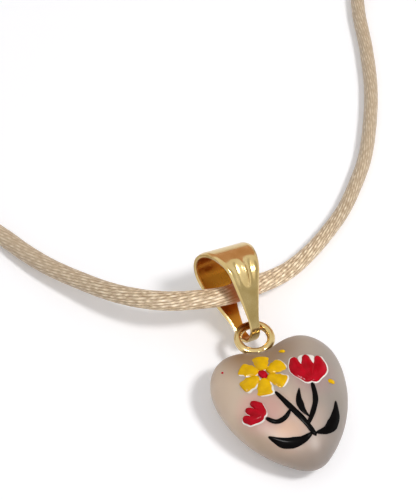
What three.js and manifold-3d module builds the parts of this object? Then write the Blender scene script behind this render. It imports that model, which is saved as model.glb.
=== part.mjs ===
// Heart pendant on a satin cord: a puffed frosted heart, the eye ring set in its cleft, a folded
// gilt bail and a necklace cord with its end caps, jump rings and lobster clasp.
// Millimetres, +Z up. The pendant lies on its back with its tip towards -Y.
import * as THREE from 'three';
import * as BufferGeometryUtils from 'three/addons/utils/BufferGeometryUtils.js';
import Module from 'manifold-3d';

// Heart
const HEART_WIDTH = 18;
const HEART_LOBE_RISE = 8.7;
const HEART_TIP_DROP = 11.4;
const HEART_THICKNESS = 8;
const HEART_NOTCH_DEPTH = 1.15;
const HEART_TIP_ROUND = 2.6;
const HEART_BACK_FLAT = 0.42;
const HEART_PUFF_POWER = 2.3;

// Eye ring and the peg that holds it in the heart
const EYE_RING_RADIUS = 2.25;
const EYE_WIRE_RADIUS = 0.55;
const EYE_PEG_RADIUS = 0.6;
const EYE_PEG_DEPTH = 4.2;
const EYE_PEG_CLEARANCE = 0.2;
const EYE_RING_STAND_OFF = 0.3;

// Bail: one strip folded into a closed loop, wide over the crest and narrow at the eye ring
const BAIL_LENGTH = 12.9;
const BAIL_THICKNESS = 0.45;
const BAIL_CREST_RADIUS = 3.8;
const BAIL_FOOT_RADIUS = 1.93;
const BAIL_FOOT_WIDTH = 1.6;
const BAIL_FRONT_WIDTH = 7.2;
const BAIL_BACK_WIDTH = 7.4;
const BAIL_FLARE_POWER = 1.12;
const BAIL_EDGE_BEVEL = 0.16;
const BAIL_BEVEL_REACH = 0.3;
const BAIL_RIB_HEIGHT = 0.3;
const BAIL_FLUTE_DEPTH = 0.14;
const BAIL_PITCH = THREE.MathUtils.degToRad(29.5);
const BAIL_ROLL = THREE.MathUtils.degToRad(19);
const BAIL_YAW = 0;
const BAIL_SIDE_STEP = -0.2;

// Stamping of the bail's front: across the strip in shares of its half width, and along the
// front leg, up to the start of the crest, in shares of the bail's length
const RIB_HALF_SHARE = 0.09;
const RIB_FOOT_SHARE = 0.22;
const FLUTE_SHARE = 0.48;
const RIB_END_SHARE = 0.43;
const RIB_FULL_SHARE = 0.55;
const RIB_TOP_SHARE = 0.68;
const RIB_FADE_SHARE = 0.82;

// Cord
const CORD_DIAMETER = 2.2;
const CORD_SIDES = 8;
const JOIN_GAP = 0.3;
const COIL_SIDES = 6;
const COIL_STEPS_PER_LOOP = 24;
const COIL_LOWER_LOOPS = 2;
const COIL_CLIMB = 0.5;
const COIL_UPPER_LOOPS = 1.75;
const COIL_PITCH = 3.1;
const COIL_OUTER_RADIUS = 15;

// End fittings
const CAP_RADIUS = 1.6;
const CAP_LENGTH = 6;
const CAP_BORE_DEPTH = 3.2;
const CAP_BORE_CLEARANCE = 0.2;
const LINK_WIRE_RADIUS = 0.35;
const CAP_EYE_RADIUS = 1.2;
const JUMP_RING_RADIUS = 1.9;
const CLASP_EYE_RADIUS = 1.5;
const CLASP_EYE_WIRE_RADIUS = 0.4;
const CLASP_LENGTH = 10.6;
const CLASP_HALF_WIDTH = 3.1;
const CLASP_THICKNESS = 2;
const CLASP_RIM = 1.35;
const CLASP_SLOT = 1.1;
const CLASP_LEVER_THICKNESS = 0.6;
const CLASP_CLEARANCE = 0.25;
const CLASP_PIN_RADIUS = 0.35;
const CLASP_PIN_CLEARANCE = 0.15;
const CLASP_BOSS_RADIUS = 0.95;

const CORD_RADIUS = CORD_DIAMETER / 2;
const HEART_MID_HEIGHT = HEART_THICKNESS / 2;

const wasm = await Module();
wasm.setup();

// Solid helpers

function toSolid(geometry) {
  const bare = geometry.clone();
  bare.deleteAttribute('normal');
  bare.deleteAttribute('uv');
  const merged = BufferGeometryUtils.mergeVertices(bare, 1e-5);
  const solidMesh = new wasm.Mesh({
    numProp: 3,
    vertProperties: new Float32Array(merged.attributes.position.array),
    triVerts: new Uint32Array(merged.index.array),
  });
  return new wasm.Manifold(solidMesh);
}

function fromSolid(solid) {
  const data = solid.getMesh();
  const geometry = new THREE.BufferGeometry();
  geometry.setAttribute('position', new THREE.BufferAttribute(new Float32Array(data.vertProperties), 3));
  geometry.setIndex(new THREE.BufferAttribute(new Uint32Array(data.triVerts), 1));
  geometry.computeVertexNormals();
  return geometry;
}

function moved(geometry, x, y, z) {
  return geometry.clone().translate(x, y, z);
}

// A closed skin over rows of points. Each row is a ring with the same number of points;
// either end is a single point, a flat face, or the rows close on themselves.
function skin(rows, startPoint, endPoint, closed = false) {
  const count = rows[0].length;
  const positions = [];
  rows.flat().forEach((point) => positions.push(point.x, point.y, point.z));
  const indices = [];
  const lastRow = closed ? rows.length : rows.length - 1;
  for (let row = 0; row < lastRow; row += 1) {
    const next = (row + 1) % rows.length;
    for (let column = 0; column < count; column += 1) {
      const side = (column + 1) % count;
      const a = row * count + column;
      const b = row * count + side;
      const c = next * count + side;
      const d = next * count + column;
      indices.push(a, b, c, a, c, d);
    }
  }
  const addFan = (point, row, reversed) => {
    const hub = positions.length / 3;
    positions.push(point.x, point.y, point.z);
    for (let column = 0; column < count; column += 1) {
      const a = row * count + column;
      const b = row * count + ((column + 1) % count);
      indices.push(hub, reversed ? b : a, reversed ? a : b);
    }
  };
  if (!closed) {
    addFan(startPoint, 0, true);
    addFan(endPoint, rows.length - 1, false);
  }
  const geometry = new THREE.BufferGeometry();
  geometry.setAttribute('position', new THREE.Float32BufferAttribute(positions, 3));
  geometry.setIndex(indices);
  geometry.computeVertexNormals();
  return geometry;
}

function metal(color) {
  return new THREE.MeshStandardMaterial({ color, roughness: 0.25, metalness: 1 });
}

function named(name, geometry, material) {
  const mesh = new THREE.Mesh(geometry, material);
  mesh.name = name;
  return mesh;
}

// Heart: a stack of outlines, each a smaller heart, that bulge from a full-size waist.
// The notch fades towards the front and the back, as a pressed heart's does.

const heartCentreY = (HEART_LOBE_RISE - HEART_TIP_DROP) * 0.35;

function heartHalf(notchDepth) {
  const half = HEART_WIDTH / 2;
  const lobeX = half * 0.5;
  const sideY = HEART_LOBE_RISE * 0.33;
  const tipY = -HEART_TIP_DROP;
  const curve = new THREE.Shape();
  curve.moveTo(0, HEART_LOBE_RISE - notchDepth);
  curve.bezierCurveTo(
    lobeX * 0.36, HEART_LOBE_RISE - notchDepth * 0.88,
    lobeX * 0.54, HEART_LOBE_RISE,
    lobeX, HEART_LOBE_RISE,
  );
  curve.bezierCurveTo(lobeX * 1.56, HEART_LOBE_RISE, half, sideY + HEART_LOBE_RISE * 0.36, half, sideY);
  curve.bezierCurveTo(
    half, sideY - HEART_TIP_DROP * 0.4,
    half * 0.76, tipY + HEART_TIP_ROUND * 1.75,
    HEART_TIP_ROUND, tipY + HEART_TIP_ROUND * 0.46,
  );
  curve.bezierCurveTo(
    HEART_TIP_ROUND * 0.66, tipY + HEART_TIP_ROUND * 0.14,
    HEART_TIP_ROUND * 0.34, tipY,
    0, tipY,
  );
  return curve;
}

function heartOutline(notchDepth, scale, z) {
  const half = heartHalf(notchDepth).getSpacedPoints(34);
  const left = half.slice(1, -1).reverse().map((point) => new THREE.Vector2(-point.x, point.y));
  const loop = [...half, ...left].reverse();
  return loop.map((point) => new THREE.Vector3(
    point.x * scale,
    heartCentreY + (point.y - heartCentreY) * scale,
    z,
  ));
}

function puffScale(level) {
  return Math.sqrt(Math.max(0, 1 - Math.abs(level) ** HEART_PUFF_POWER));
}

function heartSolid() {
  const levelsBelow = 11;
  const levelsAbove = 13;
  const flatLevel = (1 - HEART_BACK_FLAT ** 2) ** (1 / HEART_PUFF_POWER);
  const rows = [];
  for (let index = 0; index <= levelsBelow; index += 1) {
    const angle = (1 - index / levelsBelow) * Math.PI / 2;
    const level = flatLevel * Math.sin(angle);
    const z = HEART_MID_HEIGHT * (1 - level / flatLevel);
    rows.push(heartOutline(HEART_NOTCH_DEPTH * (1 - level ** 2), puffScale(level), z));
  }
  for (let index = 1; index < levelsAbove; index += 1) {
    const level = Math.sin(index / levelsAbove * Math.PI / 2);
    const z = HEART_MID_HEIGHT + HEART_THICKNESS / 2 * level;
    rows.push(heartOutline(HEART_NOTCH_DEPTH * (1 - level ** 2), puffScale(level), z));
  }
  const bottom = new THREE.Vector3(0, heartCentreY, 0);
  const top = bottom.clone().setZ(HEART_THICKNESS);
  return toSolid(skin(rows, bottom, top));
}

const cleftY = HEART_LOBE_RISE - HEART_NOTCH_DEPTH;
const eyeRingY = cleftY + EYE_RING_STAND_OFF + EYE_RING_RADIUS + EYE_WIRE_RADIUS;
const eyeTopY = eyeRingY + EYE_RING_RADIUS;

function cylinderAlongY(radius, fromY, toY, z, segments = 20) {
  const length = toY - fromY;
  return moved(new THREE.CylinderGeometry(radius, radius, length, segments), 0, (fromY + toY) / 2, z);
}

function makeHeart() {
  const socket = cylinderAlongY(
    EYE_PEG_RADIUS + EYE_PEG_CLEARANCE,
    cleftY - EYE_PEG_DEPTH - JOIN_GAP,
    HEART_LOBE_RISE + EYE_RING_RADIUS,
    HEART_MID_HEIGHT,
  );
  const solid = heartSolid().subtract(toSolid(socket));
  const material = new THREE.MeshStandardMaterial({ color: 0xb0a191, roughness: 0.6, metalness: 0 });
  return named('heart_body', fromSolid(solid), material);
}

// Eye ring: a round wire ring joined to a peg that is set in the cleft

function makeEyeRing() {
  const ring = moved(
    new THREE.TorusGeometry(EYE_RING_RADIUS, EYE_WIRE_RADIUS, 12, 40),
    0, eyeRingY, HEART_MID_HEIGHT,
  );
  const pegTop = eyeRingY - EYE_RING_RADIUS;
  const peg = cylinderAlongY(EYE_PEG_RADIUS, cleftY - EYE_PEG_DEPTH, pegTop, HEART_MID_HEIGHT, 16);
  const solid = toSolid(ring).add(toSolid(peg));
  return named('eye_ring', fromSolid(solid), metal(0xc9a85a));
}

// Bail: the strip's centre line is a belt round two circles, the foot round the eye ring's wire
// and the crest over the cord. The section has bevelled edges, a raised middle rib and two flutes.

function bailBelt() {
  const reach = BAIL_LENGTH - BAIL_FOOT_RADIUS - BAIL_CREST_RADIUS;
  const tangent = Math.acos((BAIL_FOOT_RADIUS - BAIL_CREST_RADIUS) / reach);
  const stations = [];
  const add = (centre, radius, angle) => {
    stations.push({
      along: centre + radius * Math.cos(angle),
      depth: radius * Math.sin(angle),
      angle,
    });
  };
  const arc = (centre, radius, from, to, steps) => {
    for (let step = 0; step <= steps; step += 1) {
      add(centre, radius, from + (to - from) * step / steps);
    }
  };
  const leg = (side, from, to, steps) => {
    for (let step = 1; step < steps; step += 1) {
      const share = from + (to - from) * step / steps;
      const radius = BAIL_FOOT_RADIUS + (BAIL_CREST_RADIUS - BAIL_FOOT_RADIUS) * share;
      add(reach * share, radius, side * tangent);
    }
  };
  arc(0, BAIL_FOOT_RADIUS, 2 * Math.PI - tangent, tangent, 16);
  leg(1, 0, 1, 18);
  arc(reach, BAIL_CREST_RADIUS, tangent, -tangent, 22);
  leg(-1, 1, 0, 10);
  return stations;
}

function bailWidth(along, depth) {
  const top = BAIL_LENGTH - BAIL_FOOT_RADIUS;
  const share = THREE.MathUtils.clamp(along / top, 0, 1);
  const lean = THREE.MathUtils.smoothstep(depth, -BAIL_CREST_RADIUS, BAIL_CREST_RADIUS);
  const full = BAIL_BACK_WIDTH + (BAIL_FRONT_WIDTH - BAIL_BACK_WIDTH) * lean;
  return BAIL_FOOT_WIDTH + (full - BAIL_FOOT_WIDTH) * share ** BAIL_FLARE_POWER;
}

// How far the rib and flutes stand at a place on the strip: full over the upper front,
// with a rounded end part of the way down, and none on the crest or the back leg
function ribShare(along, depth) {
  if (depth <= 0) {
    return 0;
  }
  const top = BAIL_LENGTH - BAIL_FOOT_RADIUS;
  const lower = THREE.MathUtils.smoothstep(along / top, RIB_END_SHARE, RIB_FULL_SHARE);
  const upper = 1 - THREE.MathUtils.smoothstep(along / top, RIB_TOP_SHARE, RIB_FADE_SHARE);
  return lower * upper;
}

function bailRow(station) {
  const half = bailWidth(station.along, station.depth) / 2;
  const share = ribShare(station.along, station.depth);
  const face = BAIL_THICKNESS / 2;
  const rib = face + BAIL_RIB_HEIGHT * share;
  const flute = face - BAIL_FLUTE_DEPTH * share;
  const bevel = Math.min(BAIL_BEVEL_REACH, half / 3);
  const section = [
    [-half, -face],
    [-half, face - BAIL_EDGE_BEVEL],
    [-half + bevel, face],
    [-half * FLUTE_SHARE, flute],
    [-half * RIB_FOOT_SHARE, face],
    [-half * RIB_HALF_SHARE, rib],
    [half * RIB_HALF_SHARE, rib],
    [half * RIB_FOOT_SHARE, face],
    [half * FLUTE_SHARE, flute],
    [half - bevel, face],
    [half, face - BAIL_EDGE_BEVEL],
    [half, -face],
  ];
  return section.map(([across, out]) => new THREE.Vector3(
    across,
    station.along + out * Math.cos(station.angle),
    station.depth + out * Math.sin(station.angle),
  ));
}

const bailPlace = new THREE.Matrix4()
  .makeTranslation(BAIL_SIDE_STEP, eyeTopY, HEART_MID_HEIGHT)
  .multiply(new THREE.Matrix4().makeRotationZ(BAIL_YAW))
  .multiply(new THREE.Matrix4().makeRotationX(BAIL_PITCH))
  .multiply(new THREE.Matrix4().makeRotationY(BAIL_ROLL));

function makeBail() {
  const rows = bailBelt().map(bailRow);
  const geometry = skin(rows, null, null, true).applyMatrix4(bailPlace);
  return named('bail', geometry, metal(0xb89a58));
}

// Cord: the route by hand, from the left cap through the bail to the coil, then the coil's
// piled loops and the short tail to the right cap

function cordTube(curve, steps, sides) {
  const section = new THREE.Shape();
  for (let side = 0; side < sides; side += 1) {
    const angle = (side + 0.5) / sides * Math.PI * 2;
    const x = CORD_RADIUS * Math.cos(angle);
    const y = CORD_RADIUS * Math.sin(angle);
    if (side === 0) {
      section.moveTo(x, y);
    } else {
      section.lineTo(x, y);
    }
  }
  section.closePath();
  return new THREE.ExtrudeGeometry(section, { steps, bevelEnabled: false, extrudePath: curve });
}

const LAID = CORD_RADIUS + 0.02;
const coilCentre = new THREE.Vector2(64.5, 53.0);
const coilEntry = THREE.MathUtils.degToRad(90);

// Radius and height of the coil after a number of turns: turns in on the table, part of a
// turn that climbs, and turns out on top
function coilPoint(turns, target) {
  const topStart = COIL_LOWER_LOOPS + COIL_CLIMB;
  const inward = Math.min(turns, COIL_LOWER_LOOPS);
  const outward = Math.max(0, turns - topStart);
  const radius = COIL_OUTER_RADIUS - COIL_PITCH * (inward - outward);
  const height = COIL_PITCH * THREE.MathUtils.smoothstep(turns, COIL_LOWER_LOOPS, topStart);
  const angle = coilEntry - turns * Math.PI * 2;
  return target.set(
    coilCentre.x + radius * Math.cos(angle),
    coilCentre.y + radius * Math.sin(angle),
    LAID + height,
  );
}

const COIL_TURNS = COIL_LOWER_LOOPS + COIL_CLIMB + COIL_UPPER_LOOPS;

class CoilCurve extends THREE.Curve {
  getPoint(t, target = new THREE.Vector3()) {
    return coilPoint(t * COIL_TURNS, target);
  }

  getPointAt(u, target) {
    return this.getPoint(u, target);
  }

  getTangentAt(u, target = new THREE.Vector3()) {
    return this.getTangent(u, target);
  }
}

// Direction in which the coil starts or ends, from two points on it
function coilHeading(turns, step) {
  const here = coilPoint(turns, new THREE.Vector3());
  const there = coilPoint(turns + step, new THREE.Vector3());
  return there.sub(here).multiplyScalar(Math.sign(step)).normalize();
}

const coilStart = coilPoint(0, new THREE.Vector3());
const coilEnd = coilPoint(COIL_TURNS, new THREE.Vector3());
const coilStartHeading = coilHeading(0, 0.01);
const coilEndHeading = coilHeading(COIL_TURNS, -0.01);

const runPoints = [
  [-28.8, 48.9, LAID],
  [-26.8, 44.1, LAID],
  [-24.9, 40.3, 1.3],
  [-23.5, 37.3, 1.6],
  [-21.3, 33.3, 2.2],
  [-18.4, 29.1, 3.0],
  [-15.4, 25.1, 4.0],
  [-12.3, 21.8, 5.1],
  [-8.9, 19.2, 6.1],
  [-5.1, 17.6, 6.6],
  [-3.1, 17.2, 6.5],
  [-1.2, 17.3, 6.0],
  [1.4, 18.1, 5.0],
  [4.1, 18.9, 4.0],
  [6.6, 19.6, 3.2],
  [9.3, 20.6, 2.5],
  [13.1, 22.7, 1.8],
  [17.0, 25.4, 1.3],
  [20.8, 28.4, LAID],
  [24.4, 32.2, LAID],
  [27.3, 35.8, LAID],
  [30.1, 40.5, LAID],
  [33.4, 47.4, LAID],
  [35.9, 54.8, LAID],
  [38.0, 62.6, LAID],
  [39.6, 66.2, LAID],
  [42.6, 68.6, LAID],
  [46.6, 69.6, LAID],
  [52.0, 69.4, LAID],
  [57.5, 68.5, LAID],
].map((point) => new THREE.Vector3(...point));

// A cord end: straight and level for the length that its cap holds, at the cap's height
function endStretch(from, heading, reach) {
  return [reach - CAP_BORE_DEPTH - CORD_DIAMETER / 2, reach].map((distance) => {
    const point = from.clone().addScaledVector(heading, distance);
    point.z = CAP_RADIUS;
    return point;
  });
}

const leftHeading = runPoints[0].clone().sub(runPoints[1]).normalize();
const leftEnd = endStretch(runPoints[0], leftHeading, 9);

function makeCordRun() {
  const beforeCoil = coilStart.clone().addScaledVector(coilStartHeading, -JOIN_GAP);
  const lead = beforeCoil.clone().addScaledVector(coilStartHeading, -CORD_DIAMETER);
  const points = [...leftEnd.slice().reverse(), ...runPoints, lead, beforeCoil];
  const curve = new THREE.CatmullRomCurve3(points, false, 'centripetal');
  const steps = Math.round(curve.getLength() / (2.1 * CORD_DIAMETER));
  return cordTube(curve, steps, CORD_SIDES);
}

const tailStart = coilEnd.clone().addScaledVector(coilEndHeading, JOIN_GAP);
const tailPoints = [
  tailStart,
  tailStart.clone().addScaledVector(coilEndHeading, CORD_DIAMETER),
  ...endStretch(tailStart, coilEndHeading, 16),
];

function makeCordTail() {
  const curve = new THREE.CatmullRomCurve3(tailPoints, false, 'centripetal');
  return cordTube(curve, 8, CORD_SIDES);
}

function cordMaterial() {
  return new THREE.MeshStandardMaterial({ color: 0xd8bfa0, roughness: 0.7, metalness: 0 });
}

// The coil's least gap to itself, measured between points of its centre line
// that lie more than half a turn apart, less the cord's diameter
function coilLeastGap() {
  const perTurn = 120;
  const points = [];
  for (let index = 0; index <= COIL_TURNS * perTurn; index += 1) {
    points.push(coilPoint(index / perTurn, new THREE.Vector3()));
  }
  let least = Infinity;
  for (let a = 0; a < points.length; a += 1) {
    for (let b = a + perTurn / 2; b < points.length; b += 1) {
      least = Math.min(least, points[a].distanceTo(points[b]));
    }
  }
  return least - CORD_DIAMETER;
}
console.log('coil least gap to itself, mm:', coilLeastGap().toFixed(2));

// End fittings, built along +X from the cord's end face at the origin and at the cord's height

const capEyeX = CAP_LENGTH + CAP_EYE_RADIUS - LINK_WIRE_RADIUS;
const FITTING_HEIGHT = CAP_RADIUS;
const jumpRingLift = JUMP_RING_RADIUS + LINK_WIRE_RADIUS - FITTING_HEIGHT;
const jumpRingReach = Math.sqrt(JUMP_RING_RADIUS ** 2 - jumpRingLift ** 2);
const jumpRingX = capEyeX + jumpRingReach;
const claspHeight = CLASP_THICKNESS / 2;
const claspEyeDrop = jumpRingLift + FITTING_HEIGHT - claspHeight;
const claspEyeX = jumpRingX + Math.sqrt(JUMP_RING_RADIUS ** 2 - claspEyeDrop ** 2);

function capGeometry() {
  const bore = CORD_RADIUS + CAP_BORE_CLEARANCE;
  const inner = CAP_BORE_DEPTH;
  const profile = [
    [0, inner], [bore, inner], [bore, 0], [CAP_RADIUS - 0.2, 0], [CAP_RADIUS, 0.2],
    [CAP_RADIUS, CAP_LENGTH - 1], [CAP_RADIUS * 0.6, CAP_LENGTH], [0, CAP_LENGTH],
  ].map(([x, y]) => new THREE.Vector2(x, y));
  const barrel = new THREE.LatheGeometry(profile, 18).rotateZ(-Math.PI / 2);
  const eye = moved(new THREE.TorusGeometry(CAP_EYE_RADIUS, LINK_WIRE_RADIUS, 8, 24), capEyeX, 0, 0);
  return fromSolid(toSolid(barrel).add(toSolid(eye)));
}

function jumpRingGeometry() {
  const ring = new THREE.TorusGeometry(JUMP_RING_RADIUS, LINK_WIRE_RADIUS, 8, 28);
  return ring.rotateX(Math.PI / 2).translate(jumpRingX, 0, jumpRingLift);
}

function ellipsePrism(centreX, radiusX, radiusY, thickness) {
  const shape = new THREE.Shape();
  shape.absellipse(centreX, 0, radiusX, radiusY, 0, Math.PI * 2);
  const options = { depth: thickness, bevelEnabled: false, curveSegments: 20 };
  return new THREE.ExtrudeGeometry(shape, options).translate(0, 0, -thickness / 2);
}

function box(fromX, toX, fromY, toY, thickness) {
  return new THREE.BoxGeometry(toX - fromX, toY - fromY, thickness)
    .translate((fromX + toX) / 2, (fromY + toY) / 2, 0);
}

// Lobster clasp: an oval hook whose open side is closed by a sprung lever on a riveted pin
const claspMidX = CLASP_LENGTH * 0.58;
const claspHalfLength = CLASP_LENGTH * 0.42;
const claspPivot = new THREE.Vector2(claspMidX - claspHalfLength * 0.62, CLASP_HALF_WIDTH * 0.66);
const gateEndX = claspMidX + claspHalfLength * 0.62;

function claspRim(thickness) {
  const outer = ellipsePrism(claspMidX, claspHalfLength, CLASP_HALF_WIDTH, thickness);
  const inner = ellipsePrism(
    claspMidX, claspHalfLength - CLASP_RIM, CLASP_HALF_WIDTH - CLASP_RIM, thickness + 1,
  );
  return toSolid(outer).subtract(toSolid(inner));
}

function upright(radius, thickness, segments = 20) {
  return new THREE.CylinderGeometry(radius, radius, thickness, segments)
    .rotateX(Math.PI / 2)
    .translate(claspPivot.x, claspPivot.y, 0);
}

function claspBodyGeometry() {
  const gate = box(claspPivot.x, gateEndX + CLASP_CLEARANCE, 0.4, CLASP_HALF_WIDTH + 1, CLASP_THICKNESS + 1);
  const cheek = toSolid(upright(CLASP_BOSS_RADIUS, CLASP_THICKNESS));
  const slotRadius = CLASP_BOSS_RADIUS + CLASP_CLEARANCE;
  const slot = toSolid(upright(slotRadius, CLASP_SLOT))
    .add(toSolid(box(claspPivot.x, gateEndX, -0.2, CLASP_HALF_WIDTH + 1, CLASP_SLOT)));
  const bore = toSolid(upright(CLASP_PIN_RADIUS + CLASP_PIN_CLEARANCE, CLASP_THICKNESS + 1));
  const neckEnd = claspMidX - claspHalfLength + CLASP_RIM * 0.5;
  const neck = toSolid(box(CLASP_EYE_RADIUS, neckEnd, -0.9, 0.9, CLASP_THICKNESS * 0.7));
  const eye = toSolid(new THREE.TorusGeometry(CLASP_EYE_RADIUS, CLASP_EYE_WIRE_RADIUS, 8, 24));
  const solid = claspRim(CLASP_THICKNESS)
    .subtract(toSolid(gate))
    .add(cheek)
    .subtract(slot)
    .subtract(bore)
    .add(neck)
    .add(eye);
  return fromSolid(solid);
}

function claspLeverGeometry() {
  const gate = toSolid(box(
    claspPivot.x, gateEndX - CLASP_CLEARANCE * 0.4, 0.4, CLASP_HALF_WIDTH + 1, CLASP_LEVER_THICKNESS,
  ));
  const arm = claspRim(CLASP_LEVER_THICKNESS).intersect(gate);
  const boss = toSolid(upright(CLASP_BOSS_RADIUS, CLASP_LEVER_THICKNESS));
  const thumb = toSolid(box(
    claspPivot.x - 0.3, claspPivot.x + 0.7, claspPivot.y + 0.3, claspPivot.y + 2.1, CLASP_LEVER_THICKNESS,
  ));
  const bore = toSolid(upright(CLASP_PIN_RADIUS + CLASP_PIN_CLEARANCE, CLASP_THICKNESS));
  return fromSolid(arm.add(boss).add(thumb).subtract(bore));
}

function fittingGroup(endPoint, heading) {
  const group = new THREE.Group();
  const flat = new THREE.Vector3(heading.x, heading.y, 0).normalize();
  const start = endPoint.clone().addScaledVector(flat, JOIN_GAP - CAP_BORE_DEPTH);
  group.position.set(start.x, start.y, FITTING_HEIGHT);
  group.rotation.z = Math.atan2(flat.y, flat.x);
  return group;
}

const gold = 0xc8a862;
const leftFitting = fittingGroup(leftEnd[1], leftHeading);
leftFitting.add(named('cap_left', capGeometry(), metal(gold)));
leftFitting.add(named('jump_ring_left', jumpRingGeometry(), metal(gold)));
const clasp = new THREE.Group();
clasp.position.set(claspEyeX, 0, claspHeight - FITTING_HEIGHT);
clasp.add(named('clasp_body', claspBodyGeometry(), metal(gold)));
clasp.add(named('clasp_lever', claspLeverGeometry(), metal(gold)));
clasp.add(named('clasp_pin', upright(CLASP_PIN_RADIUS, CLASP_THICKNESS, 12), metal(gold)));
leftFitting.add(clasp);

const tailEnd = tailPoints[tailPoints.length - 1];
const rightFitting = fittingGroup(tailEnd, coilEndHeading);
rightFitting.add(named('cap_right', capGeometry(), metal(gold)));
rightFitting.add(named('jump_ring_right', jumpRingGeometry(), metal(gold)));

// The pendant's own box sets the origin: its bottom centre
const pendant = new THREE.Group();
pendant.add(makeHeart(), makeEyeRing(), makeBail());
const pendantBox = new THREE.Box3().setFromObject(pendant, true);
const pendantCentre = pendantBox.getCenter(new THREE.Vector3());

const group = new THREE.Group();
group.add(pendant, leftFitting, rightFitting);
group.add(named('cord_run', makeCordRun(), cordMaterial()));
const coilTube = cordTube(new CoilCurve(), COIL_TURNS * COIL_STEPS_PER_LOOP, COIL_SIDES);
group.add(named('cord_coil', coilTube, cordMaterial()));
group.add(named('cord_tail', makeCordTail(), cordMaterial()));
group.position.set(-pendantCentre.x, -pendantCentre.y, -pendantBox.min.z);

export default group;
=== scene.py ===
# %% [markdown]
# # A heart pendant on a satin cord
# The real thing is a small puffed heart with a frosted skin and raised enamel painting. A gilt
# ring stands in its cleft, a folded gilt bail hangs from the ring, and a satin cord runs through
# the bail. The CAD model gives every size and place, and these cells dress it.

# %% Load the frame
import math

import bpy
import numpy as np
from mathutils import Matrix, Vector
from mathutils.bvhtree import BVHTree


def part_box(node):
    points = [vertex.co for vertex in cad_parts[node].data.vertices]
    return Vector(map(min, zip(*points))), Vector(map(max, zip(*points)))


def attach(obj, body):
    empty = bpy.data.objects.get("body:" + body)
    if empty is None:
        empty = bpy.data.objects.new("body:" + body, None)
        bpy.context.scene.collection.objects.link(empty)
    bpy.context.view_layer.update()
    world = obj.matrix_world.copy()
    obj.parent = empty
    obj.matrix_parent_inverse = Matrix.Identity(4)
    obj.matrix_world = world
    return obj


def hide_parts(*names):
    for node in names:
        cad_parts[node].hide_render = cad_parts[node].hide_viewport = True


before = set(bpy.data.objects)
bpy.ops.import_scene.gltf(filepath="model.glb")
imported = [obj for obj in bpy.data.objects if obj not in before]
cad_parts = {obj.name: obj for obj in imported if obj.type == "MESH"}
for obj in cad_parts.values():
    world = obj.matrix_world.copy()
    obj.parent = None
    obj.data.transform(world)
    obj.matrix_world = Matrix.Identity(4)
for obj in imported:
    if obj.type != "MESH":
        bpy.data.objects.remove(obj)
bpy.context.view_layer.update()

MM = 0.001
print("CAD nodes:", sorted(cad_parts))

# %% [markdown]
# ## Camera
# A small thing on a table is photographed from fairly close, looking down. A long lens keeps the
# heart's shape true. The camera is placed by two points: where it stands and what it looks at.
# Places are counted in millimetres from the heart's middle, as on a drawing. In the CAD file the
# heart lies elsewhere along Y, so row_shift is measured at its tip and added to every Y.

# %% Camera
HEART_TIP_DROP = 11.4
row_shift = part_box("heart_body")[0].y / MM + HEART_TIP_DROP
CAMERA_AT = Vector((-80.55, -176.74 + row_shift, 294.36)) * MM
CAMERA_LOOKS_AT = Vector((-3.35, 19.24 + row_shift, 14.84)) * MM

bpy.ops.object.camera_add(location=CAMERA_AT)
camera = bpy.context.object
camera.name = "camera"
camera.rotation_euler = (CAMERA_LOOKS_AT - CAMERA_AT).to_track_quat("-Z", "Y").to_euler()
camera.data.lens = 189
camera.data.sensor_width = 36
camera.data.clip_start = 0.01
camera.data.clip_end = 20
scene = bpy.context.scene
scene.camera = camera
print("camera stands", round((CAMERA_LOOKS_AT - CAMERA_AT).length / MM), "mm away")

# %% [markdown]
# ## Colour and nodes
# Colours are written as sRGB hex values, as a colour picker gives them, but a shader works in
# linear light, so one function converts them. Another adds a node with its settings and links. An
# input goes by its label, or by its number where two inputs share a label, and a colour ramp also
# takes its stops. A third starts a material.

# %% Colour, node and material helpers


def linear(hex_colour):
    channels = [int(hex_colour[i:i + 2], 16) / 255 for i in (1, 3, 5)]
    bent = [c / 12.92 if c <= 0.04045 else ((c + 0.055) / 1.055) ** 2.4 for c in channels]
    return (*bent, 1.0)


def node(tree, kind, settings=None, stops=(), **inputs):
    made = tree.nodes.new(kind)
    for key, value in (settings or {}).items():
        setattr(made, key, value)
    for key, value in inputs.items():
        number = key[1:]
        socket = made.inputs[int(number) if number.isdigit() else key.replace("_", " ")]
        if isinstance(value, bpy.types.NodeSocket):
            tree.links.new(value, socket)
        else:
            socket.default_value = value
    for _ in stops[2:]:
        made.color_ramp.elements.new(0.5)
    for number, (position, colour) in enumerate(stops):
        element = made.color_ramp.elements[number]
        element.position = position
        element.color = linear(colour)
    return made


def new_material(name, **settings):
    material = bpy.data.materials.new(name)
    material.use_nodes = True
    shader = material.node_tree.nodes["Principled BSDF"]
    for key, value in settings.items():
        shader.inputs[key.replace("_", " ")].default_value = value
    return material, material.node_tree, shader


print("white in linear light:", linear("#FFFFFF"))

# %% [markdown]
# ## Floor and sky
# The table is a plain sheet of white paper, and all round it is white too. The paper's own colour
# is nearly white, and a little light is added to it only where the camera or a mirror looks at
# it, so that light doesn't fall on the pendant. The sky is full white in the same places, and
# dimmer where it lights things, so that the pendant's colours come out as they are written.

# %% Floor and sky
FLOOR_GLOW = 0.12
LIGHTING_SKY = 0.55

scene.view_settings.view_transform = "Standard"


def seen_directly(tree):
    """1 for a ray from the camera, a mirror or something clear, and 0 for a ray that lights."""
    rays = node(tree, "ShaderNodeLightPath").outputs
    seen = rays["Is Camera Ray"]
    for other in ("Is Glossy Ray", "Is Transmission Ray"):
        wider = node(tree, "ShaderNodeMath", {"operation": "MAXIMUM"}, _0=seen, _1=rays[other])
        seen = wider.outputs[0]
    return seen


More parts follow.
